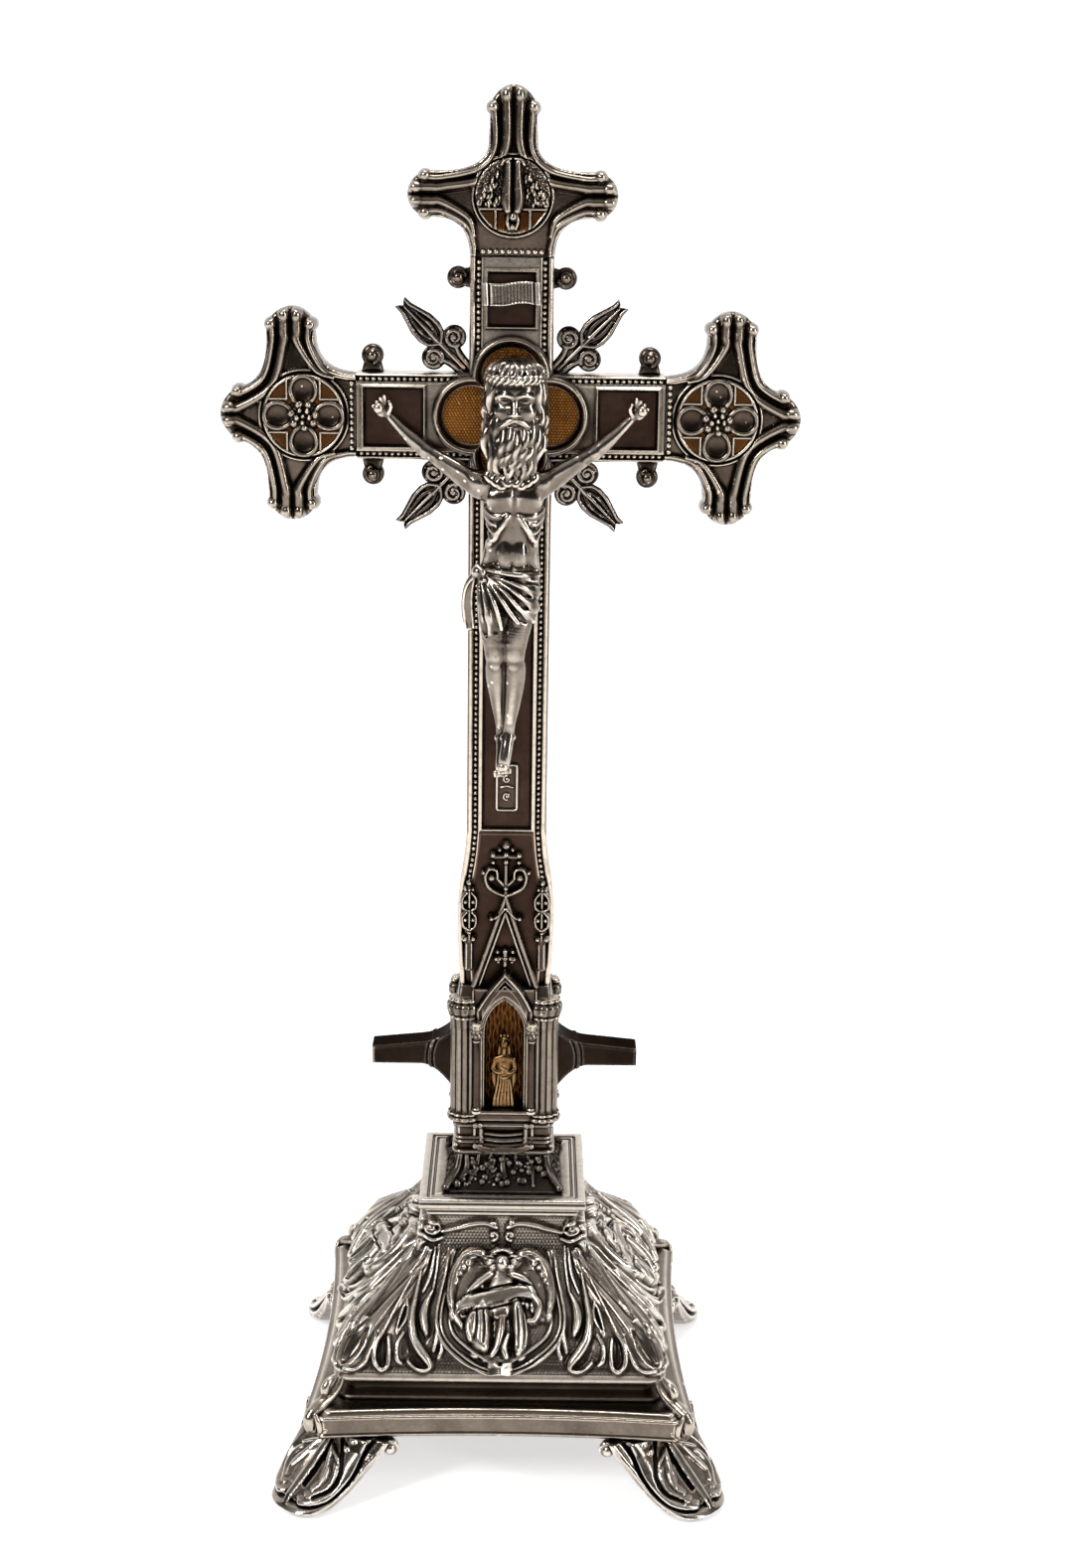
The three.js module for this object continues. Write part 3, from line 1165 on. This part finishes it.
function spray(angle) {
  const half = SPRAY_BODY.thickness / 2;
  const volutes = [-1, 1].map((side) =>
    frontCylinder(SPRAY.voluteAt, -half, half, side * SPRAY.voluteSide, SPRAY_BODY.volute, LIMB_SIDES));
  const stem = box(SHAFT.half, SPRAY.leafFrom + SPRAY.leafHalf, -half, half, -SPRAY.stemHalf, SPRAY.stemHalf);
  const body = unite(plate(leafShape(), -half, half, SPRAY_BODY.bevel), stem, ...volutes);
  const geometry = toGeometry(body).rotateY(-angle).translate(0, 0, CROSSING);
  const clear = plate(crossShape(GAP, false), -SHAFT.depth, SHAFT.depth);
  return toSolid(geometry).subtract(clear);
}
for (const [name, quarter] of [["upper_right", 1], ["upper_left", 3], ["lower_left", 5], ["lower_right", 7]]) {
  place(`spray_${name}`, spray((quarter * Math.PI) / 4), FINISH.darkSilver);
}

// Nimbus: quatrefoil frame round a gilt floor
function quatrefoil(radius) {
  const { offset } = NIMBUS;
  const meet = (offset + Math.sqrt(2 * radius * radius - offset * offset)) / 2;
  const sweep = Math.atan2(meet, meet - offset);
  const path = new THREE.Path();
  for (let lobe = 0; lobe < 4; lobe++) {
    const facing = (lobe * Math.PI) / 2;
    path.absarc(
      offset * Math.cos(facing), NIMBUS_Z + offset * Math.sin(facing), radius, facing - sweep, facing + sweep, false,
    );
  }
  return path.getPoints(CURVE_STEPS);
}

function nimbusFrame() {
  const shape = new THREE.Shape(quatrefoil(NIMBUS.radius));
  shape.holes.push(new THREE.Path(quatrefoil(NIMBUS.radius - NIMBUS.band)));
  return plate(shape, NIMBUS_FRONT, APPLIED_BACK, NIMBUS.bevel);
}
place("nimbus_frame", nimbusFrame(), FINISH.silver);

const nimbusFloorShape = new THREE.Shape(quatrefoil(NIMBUS.radius - NIMBUS.band - GAP));
place("nimbus_plate", plate(nimbusFloorShape, APPLIED_BACK - NIMBUS.floor, APPLIED_BACK), FINISH.gilt);

// Bevelled frames round the sunk panels of shaft and arms
function panelFrame(x0, x1, z0, z1) {
  const profile = [
    [0, APPLIED_BACK], [0, APPLIED_BACK - FRAME.rise * 0.55], [FRAME.band * 0.4, FRAME_FRONT],
    [FRAME.band * 0.6, FRAME_FRONT], [FRAME.band, APPLIED_BACK - FRAME.rise * 0.3], [FRAME.band, APPLIED_BACK],
  ];
  const rings = profile.map(([inset, y]) => [
    [x0 + inset, z0 + inset], [x1 - inset, z0 + inset], [x1 - inset, z1 - inset], [x0 + inset, z1 - inset],
  ].map(([x, z]) => new THREE.Vector3(x, y, z)));
  return hoop(rings);
}

function hoop(rings) {
  const count = rings[0].length;
  const points = rings.flat();
  const faces = [];
  for (let r = 0; r < rings.length; r++) {
    const nextRing = ((r + 1) % rings.length) * count;
    for (let i = 0; i < count; i++) {
      const next = (i + 1) % count;
      faces.push([r * count + i, r * count + next, nextRing + next], [r * count + i, nextRing + next, nextRing + i]);
    }
  }
  return skin(points, faces);
}

const PLAQUE_TOP = CROSSING - PLAQUE.belowArms;
const PLAQUE_LOW = PLAQUE_TOP - PLAQUE.height;
const LOWER_FRAME_TOP = NIMBUS_Z - NIMBUS_REACH - FRAME.margin;
const UPPER_FRAME_LOW = NIMBUS_Z + NIMBUS_REACH + FRAME.margin;
const ARM_FRAME_INNER = NIMBUS_REACH + FRAME.margin;
const ARM_FRAME_OUTER = ARM.reach - ARM_FRAME.endMargin;

place("panel_frame_lower", panelFrame(
  -LOWER_FRAME.half, LOWER_FRAME.half, PLAQUE_LOW - LOWER_FRAME.belowPlaque, LOWER_FRAME_TOP,
), FINISH.silver);
place("panel_frame_upper", panelFrame(
  -UPPER_FRAME.half, UPPER_FRAME.half, UPPER_FRAME_LOW, SHAFT_TOP - UPPER_FRAME.belowTop,
), FINISH.silver);
const rightFrame = panelFrame(ARM_FRAME_INNER, ARM_FRAME_OUTER, CROSSING - ARM_FRAME.half, CROSSING + ARM_FRAME.half);
place("panel_frame_right", rightFrame, FINISH.silver);
place("panel_frame_left", mirroredX(rightFrame), FINISH.silver);

// Scroll above the head, blank, with rolled ends
function titulus() {
  const back = FRAME_FRONT - GAP;
  const high = SHAFT_TOP - TITULUS.belowTop;
  const low = high - TITULUS.height;
  const sheet = box(-TITULUS.half, TITULUS.half, back - TITULUS.thickness, back, low, high);
  const rolls = [-1, 1].map((side) =>
    uprightCylinder(side * TITULUS.half, back - TITULUS.curl, low, high, TITULUS.curl, LIMB_SIDES));
  return unite(sheet, ...rolls);
}
place("titulus", titulus(), FINISH.silver);

// Foot plaque below the feet
function plaqueShape() {
  const shape = new THREE.Shape();
  shape.moveTo(-PLAQUE.half, PLAQUE_TOP);
  shape.lineTo(-PLAQUE.half, PLAQUE_LOW + PLAQUE.half);
  shape.absarc(0, PLAQUE_LOW + PLAQUE.half, PLAQUE.half, Math.PI, 2 * Math.PI, false);
  shape.lineTo(PLAQUE.half, PLAQUE_TOP);
  return shape;
}
place("foot_plaque", plate(plaqueShape(), APPLIED_BACK - PLAQUE.thickness, APPLIED_BACK, GAP), FINISH.silver);

// Corpus: trunk, head and limbs joined, flat behind where it lies over frames and nimbus
function trunk() {
  return loft(TRUNK.map(({ x, y, z, across, deep }) => {
    const ring = [];
    for (let i = 0; i < ROUND_SIDES; i++) {
      const angle = (i / ROUND_SIDES) * 2 * Math.PI;
      ring.push(new THREE.Vector3(x + across * Math.cos(angle), y + deep * Math.sin(angle), z));
    }
    return ring;
  }));
}

function headPart({ x, y, z, across, deep, high }) {
  return ball(x, y, z, across, deep, high);
}

function corpus() {
  const fingers = ARM.reach - HAND.fingersFromEnd;
  const rightArm = ARM_LIMB.map((point) => ({ ...point, x: THREE.MathUtils.lerp(SHOULDER, fingers, point.share) }));
  const leftArm = rightArm.map((point) => ({ ...point, x: -point.x }));
  const leftLock = { ...HAIR_LOCK, x: 2 * HEAD.x - HAIR_LOCK.x };
  const body = unite(
    trunk(), headPart(HEAD), headPart(BEARD), headPart(HAIR_LOCK), headPart(leftLock),
    limb(rightArm), limb(leftArm), limb(BACK_LEG), limb(FRONT_LEG), limb(CLOTH_KNOT),
  );
  const placed = moved(body, 0, 0, CROSSING);
  const reach = ARM.reach;
  const overFrames = box(-reach, reach, FRAME_FRONT - GAP, SHAFT.depth, SHAFT_FOOT, SHAFT_TOP);
  const overNimbus = box(
    -NIMBUS_REACH - GAP, NIMBUS_REACH + GAP, NIMBUS_FRONT - GAP, SHAFT.depth,
    NIMBUS_Z - NIMBUS_REACH - GAP, NIMBUS_Z + NIMBUS_REACH + GAP,
  );
  const holes = [nailHole(HAND_NAIL, -1), nailHole(HAND_NAIL, 1), nailHole(FOOT_NAIL, 1)];
  return [overFrames, overNimbus, ...holes].reduce((rest, cut) => rest.subtract(cut), placed);
}
place("corpus", corpus(), FINISH.silver);

// Nails through hands and feet into the front shell
function nail(spec, side) {
  const x = side * spec.x;
  const z = CROSSING + spec.z;
  const end = SHEET - SHAFT.depth + NAIL.tail;
  const shank = frontCylinder(x, spec.front, end, z, NAIL.shank, LIMB_SIDES);
  return shank.add(frontCylinder(x, spec.front - NAIL.headHeight, spec.front, z, NAIL.head, LIMB_SIDES));
}
place("nail_left_hand", nail(HAND_NAIL, -1), FINISH.silver);
place("nail_right_hand", nail(HAND_NAIL, 1), FINISH.silver);
place("nail_feet", nail(FOOT_NAIL, 1), FINISH.silver);

// Tie rod with its anchor block in the shaft and its washer and nut under the cover's deck
const ROD_TOP = SHAFT_FOOT + ROD.reachIntoShaft;
const WASHER_TOP = COVER_TOP - SHEET - GAP;
const NUT_TOP = WASHER_TOP - ROD_WASHER.height - GAP;
const ROD_BOTTOM = NUT_TOP - ROD_NUT.height - ROD.tail;
const ROD_BORE = ROD.radius + ROD.clearance;

place("tie_rod", uprightCylinder(0, ROD.y, ROD_BOTTOM, ROD_TOP, ROD.radius), FINISH.steel);
place("tie_nut", hexNut(0, ROD.y, NUT_TOP - ROD_NUT.height, ROD_NUT, ROD_BORE), FINISH.steel);
place("tie_washer", uprightCylinder(0, ROD.y, WASHER_TOP - ROD_WASHER.height, WASHER_TOP, ROD_WASHER.radius)
  .subtract(rodHole(WASHER_TOP - ROD_WASHER.height, WASHER_TOP)), FINISH.steel);

function anchorBlock() {
  const inner = SHAFT.depth - SHEET - GAP;
  const block = box(-ANCHOR.half, ANCHOR.half, -inner, inner, ROD_TOP - ANCHOR.height, ROD_TOP);
  return block.subtract(rodHole(ROD_TOP - ANCHOR.height, ROD_TOP));
}
place("anchor_block", anchorBlock(), FINISH.steel);

export default cross;
